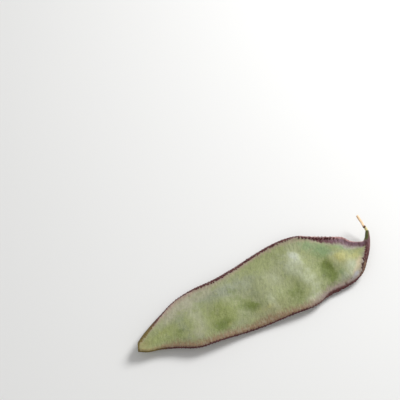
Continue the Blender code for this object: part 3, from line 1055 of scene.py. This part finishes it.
class BEANPOD_OT_warts(bpy.types.Operator):
    """Set rows of small warts along both sutures"""

    bl_idname = "beanpod.warts"
    bl_label = "Suture warts"

    def execute(self, context):
        settings = context.scene.bean_pod
        draw = random.Random(WART_SEED)
        shares, angles, sizes, lightness = wart_places(settings, draw)
        here = Surface(shares, angles, settings)
        along, around = NORMAL_STEPS
        ahead = Surface(np.clip(shares + along, 0, 1), angles, settings).points - here.points
        round_step = Surface(shares, angles + around, settings).points - here.points
        normals = np.cross(ahead, round_step)
        normals /= np.linalg.norm(normals, axis=1)[:, None]
        middle = Surface(shares, np.full(len(shares), math.pi / 2), settings).points
        middle[:, 2] -= CORE_DEPTH
        normals *= np.sign(np.sum(normals * (here.points - middle), axis=1))[:, None]
        fade, stems = read_table(WART_FADE, here.plan), stem_share(here.plan)
        marks = ("lit_top", "stem")
        facets_around, facets_up = WART_FACETS
        bm, batch = marked_bmesh(marks), marked_bmesh(marks)
        for index, (point, normal, size, thin) in enumerate(zip(here.points, normals, sizes, fade)):
            radius = settings.wart_size * size * thin
            place = Vector((point[0], point[1], point[2] + RAISE)) - Vector(normal) * radius * WART_SINK
            turn = Vector(normal).to_track_quat("Z", "Y").to_matrix().to_4x4()
            spin = Matrix.Rotation(draw.uniform(0, math.tau), 4, "Z")
            squash = Matrix.Diagonal((1.0, draw.uniform(*WIDTH_SPREAD), draw.uniform(*HEIGHT_SPREAD), 1.0))
            where = Matrix.Translation(place * MM) @ turn @ spin @ squash
            made = bmesh.ops.create_uvsphere(
                batch, u_segments=facets_around, v_segments=facets_up, radius=radius * MM, matrix=where
            )
            # Painted highlight: each wart turns pale towards its top, which faces up, or down on the underside
            light = lightness[index] * draw.uniform(*LIGHT_SPREAD)
            skyward = Vector((0, 0, 1 if normal[2] > UNDERSIDE else -1))
            tip = (Vector(normal) * TIP_LEAN + skyward).normalized()
            lit_top, stem = (batch.verts.layers.float[name] for name in marks)
            for vert in made["verts"]:
                rise = (vert.co - place * MM).dot(tip) / (radius * MM)
                vert[lit_top] = light * min(max(rise, 0.0) * WART_TIP, 1.0)
                vert[stem] = stems[index]
            if index % WARTS_IN_A_BATCH == WARTS_IN_A_BATCH - 1 or index == len(shares) - 1:
                pour(batch, bm)
                batch = marked_bmesh(marks)
        batch.free()
        finish_piece(bm, "suture_warts", None, {}, wart_material(settings), [])
        return {"FINISHED"}


class BEANPOD_OT_style(bpy.types.Operator):
    """Make the dried style: a flattened, grooved thread with a withered knot, rooted in the beak"""

    bl_idname = "beanpod.style"
    bl_label = "Dried style"

    def execute(self, context):
        settings = context.scene.bean_pod
        bm, ring, angle = sphere_loft(STYLE_RINGS, STYLE_AROUND)
        tip = Surface(np.array([1.0]), np.array([math.pi / 2]), settings)
        tip_height = middle_height(tip.plan, tip.lower, tip.upper)[0] + RAISE
        route = np.array(STYLE_POINTS)
        along = ring / (STYLE_RINGS - 1)
        path = spline(route, along)
        ahead, back = (np.clip(along + step, 0, 1) for step in (STYLE_STEP, -STYLE_STEP))
        forward = (spline(route, ahead) - spline(route, back))[:, :3]
        forward /= np.linalg.norm(forward, axis=1)[:, None]
        across = np.cross(forward, STYLE_FACE)
        across /= np.linalg.norm(across, axis=1)[:, None]
        upward = np.cross(across, forward)
        width = path[:, 3] * (1 + GROOVE_DEPTH * np.sin(GROOVES * angle + GROOVE_TURN * along))
        stretch, offset, power = CAPS
        ends = np.clip(np.abs(2 * along - 1) * stretch - offset, 0, 1)
        caps = np.sqrt(np.clip(1 - ends**power, 0, 1))
        flat = np.interp(along, *np.transpose(STYLE_FLAT))
        turn_x, turn_y, turn_z = (turn * along for turn in WOBBLE_TURNS)
        wobble = WOBBLE * np.column_stack([np.sin(turn_x), np.cos(turn_y), np.sin(turn_z)])
        points = path[:, :3] + wobble * np.interp(along, WOBBLE_START, (0, 1))[:, None]
        points += across * (width * np.cos(angle) * caps)[:, None]
        points += upward * (width * flat * np.sin(angle) * caps)[:, None]
        points[:, 0] -= ORIGIN[0]
        points[:, 2] += tip_height
        material = style_material(settings)
        finish_piece(bm, "dried_style", points, {"along": along}, material, ["style"])
        return {"FINISHED"}


class BEANPOD_OT_stage(bpy.types.Operator):
    """Set up the pale floor, soft lights and the camera"""

    bl_idname = "beanpod.stage"
    bl_label = "Stage"

    def execute(self, context):
        settings, scene = context.scene.bean_stage, context.scene
        bm = bmesh.new()
        bmesh.ops.create_grid(bm, x_segments=1, y_segments=1, size=FLOOR_REACH)
        mesh = bpy.data.meshes.new("floor")
        bm.to_mesh(mesh)
        bm.free()
        floor = bpy.data.objects.new("floor", mesh)
        sh = Shader("floor")
        sh.dress({"Base Color": (*settings.floor, 1.0), "Roughness": FLOOR_ROUGHNESS})
        mesh.materials.append(sh.material)
        scene.collection.objects.link(floor)

        world = bpy.data.worlds.new("surroundings")
        world.use_nodes = True
        background = world.node_tree.nodes["Background"].inputs
        background["Color"].default_value = WHITE
        background["Strength"].default_value = settings.sky
        scene.world = world

        for (name, place, size), power in zip(LAMPS, (settings.key_power, settings.fill_power)):
            lamp = bpy.data.lights.new(name, "AREA")
            lamp.size = size
            lamp.energy = power
            holder = bpy.data.objects.new(name, lamp)
            holder.location = Vector(place)
            holder.rotation_mode = "QUATERNION"
            holder.rotation_quaternion = holder.location.to_track_quat("Z", "Y")
            scene.collection.objects.link(holder)

        azimuth, elevation = settings.azimuth, settings.elevation
        level = math.cos(elevation)
        back = Vector((math.sin(azimuth) * level, -math.cos(azimuth) * level, math.sin(elevation)))
        camera = bpy.data.objects.new("camera", bpy.data.cameras.new("camera"))
        camera.data.lens = settings.lens
        camera.location = Vector(settings.target) + back * settings.distance
        camera.rotation_mode = "QUATERNION"
        camera.rotation_quaternion = (-back).to_track_quat("-Z", "Y")
        scene.collection.objects.link(camera)
        scene.camera = camera
        scene.view_settings.view_transform = "Standard"
        return {"FINISHED"}


class BEANPOD_PT_pieces(bpy.types.Panel):
    """Lists the pod's pieces and its stage"""

    bl_idname = "BEANPOD_PT_pieces"
    bl_label = "Bean Pod"
    bl_space_type = "VIEW_3D"
    bl_region_type = "UI"
    bl_category = "Bean Pod"

    def draw(self, context):
        for operator in OPERATORS:
            self.layout.operator(operator.bl_idname)
        for settings in (context.scene.bean_pod, context.scene.bean_stage):
            for name in settings.__annotations__:
                self.layout.prop(settings, name)


OPERATORS = (BEANPOD_OT_skin, BEANPOD_OT_warts, BEANPOD_OT_style, BEANPOD_OT_stage)
CLASSES = (BeanPodSettings, BeanStageSettings, *OPERATORS, BEANPOD_PT_pieces)


def register():
    for item in CLASSES:
        bpy.utils.register_class(item)
    bpy.types.Scene.bean_pod = PointerProperty(type=BeanPodSettings)
    bpy.types.Scene.bean_stage = PointerProperty(type=BeanStageSettings)


def unregister():
    del bpy.types.Scene.bean_stage
    del bpy.types.Scene.bean_pod
    for item in reversed(CLASSES):
        bpy.utils.unregister_class(item)


def main():
    register()
    bpy.ops.beanpod.skin()
    bpy.ops.beanpod.warts()
    bpy.ops.beanpod.style()
    bpy.ops.beanpod.stage()


if __name__ == "__main__":
    main()
